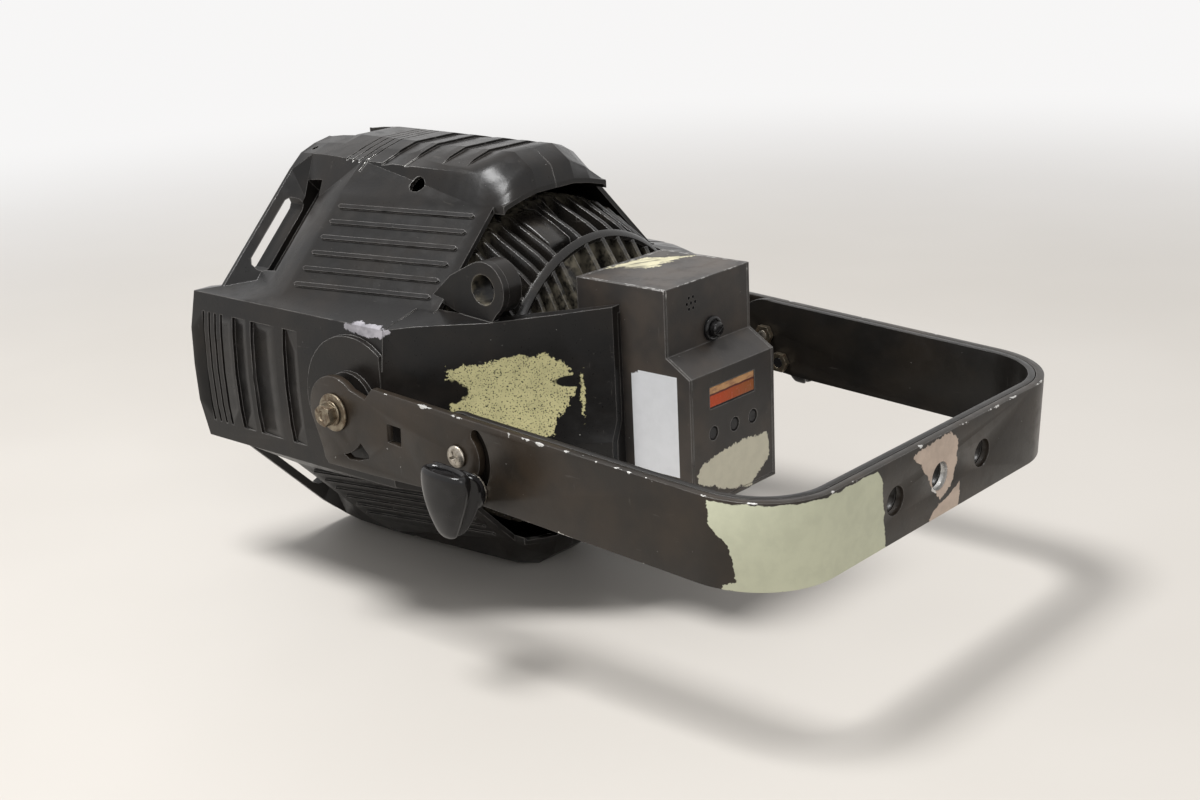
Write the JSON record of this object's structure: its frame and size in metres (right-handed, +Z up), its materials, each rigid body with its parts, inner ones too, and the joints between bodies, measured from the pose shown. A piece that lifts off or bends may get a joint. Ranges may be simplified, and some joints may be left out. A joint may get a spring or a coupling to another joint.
{
  "type": "led par can",
  "caption": "Stage spotlight with cast half shells round a finned heat sink, a rear control box and a double yoke whose straps tilt and fold apart to stand or hang.",
  "frame": {"origin": "middle of the bounding box's bottom face; the light rests on the crests of the two half shells", "axes": "+Z up, the light faces -Y, the control box and the folded yoke point to +Y, X runs along the yoke pivot"},
  "size_m": [0.2978, 0.3954, 0.224],
  "materials": {
    "casting": "near-black satin powder coat on die-cast aluminium",
    "strap": "near-black satin powder coat on flat bar, worn at the edges",
    "sheet": "satin black paint on folded sheet",
    "zinc": "yellowed zinc plate",
    "steel": "plated steel",
    "knob": "glossy black moulding",
    "plastic": "matt black moulding",
    "rubber": "matt",
    "glass": "clear",
    "window": "tinted clear window",
    "board": "green circuit board"
  },
  "bodies": {
    "body": {"shell_near": "casting", "shell_far": "casting", "heat_sink": "casting", "led_board": "board", "lens_plate": "plastic", "lens_01": "glass", "lens_02": "glass", "lens_03": "glass", "lens_04": "glass", "lens_05": "glass", "lens_06": "glass", "lens_07": "glass", "lens_08": "glass", "lens_09": "glass", "lens_10": "glass", "lens_11": "glass", "lens_12": "glass", "gasket": "rubber", "front_glass": "glass", "front_ring": "casting", "control_box_base": "sheet", "control_box_cover": "sheet", "display_window": "window", "display_board": "board", "microphone": "steel", "fuse_holder": "plastic", "power_supply": "board", "power_inlet": "plastic", "data_in_socket": "plastic", "data_out_socket": "plastic", "pivot_bolt_near": "zinc", "pivot_bolt_far": "zinc", "pivot_washer_near": "zinc", "pivot_washer_far": "zinc", "friction_disc_near": "rubber", "friction_disc_far": "rubber"},
    "outer_yoke": {"outer_yoke": "strap", "hinge_screw_near": "steel", "hinge_screw_far": "steel", "hinge_nut_near": "zinc", "hinge_nut_far": "zinc"},
    "inner_yoke": {"inner_yoke": "strap", "knob_washer_near": "steel", "knob_washer_far": "steel", "stud_nut_near": "zinc", "stud_nut_far": "zinc"},
    "knob_near": {"knob_near": "knob"},
    "knob_far": {"knob_far": "knob"},
    "button_1": {"button_1": "plastic"},
    "button_2": {"button_2": "plastic"},
    "button_3": {"button_3": "plastic"},
    "fuse_cap": {"fuse_cap": "plastic"}
  },
  "joints": [
    {"name": "yoke_tilt", "type": "hinge", "parent": "body", "child": "outer_yoke", "pos_m": [0, -0.06824, 0.112], "axis": [1, 0, 0], "continuous": true},
    {"name": "inner_yoke_swing", "type": "hinge", "parent": "outer_yoke", "child": "inner_yoke", "pos_m": [0, 0.01636, 0.10599], "axis": [1, 0, 0], "range_deg": [0, 95]},
    {"name": "knob_near_turn", "type": "hinge", "parent": "inner_yoke", "child": "knob_near", "pos_m": [0.12395, 0.0267, 0.0918], "axis": [1, 0, 0], "continuous": true},
    {"name": "knob_far_turn", "type": "hinge", "parent": "inner_yoke", "child": "knob_far", "pos_m": [-0.12395, 0.0267, 0.0918], "axis": [-1, 0, 0], "continuous": true},
    {"name": "fuse_cap_turn", "type": "hinge", "parent": "body", "child": "fuse_cap", "pos_m": [-0.0019, 0.06946, 0.1446], "axis": [0, 1, 0], "range_deg": [0, 90]},
    {"name": "button_1_press", "type": "slide", "parent": "body", "child": "button_1", "axis": [0, -1, 0], "range_m": [0, 0.0008], "stiffness_N_per_m": 600},
    {"name": "button_2_press", "type": "slide", "parent": "body", "child": "button_2", "axis": [0, -1, 0], "range_m": [0, 0.0008], "stiffness_N_per_m": 600},
    {"name": "button_3_press", "type": "slide", "parent": "body", "child": "button_3", "axis": [0, -1, 0], "range_m": [0, 0.0008], "stiffness_N_per_m": 600}
  ]
}
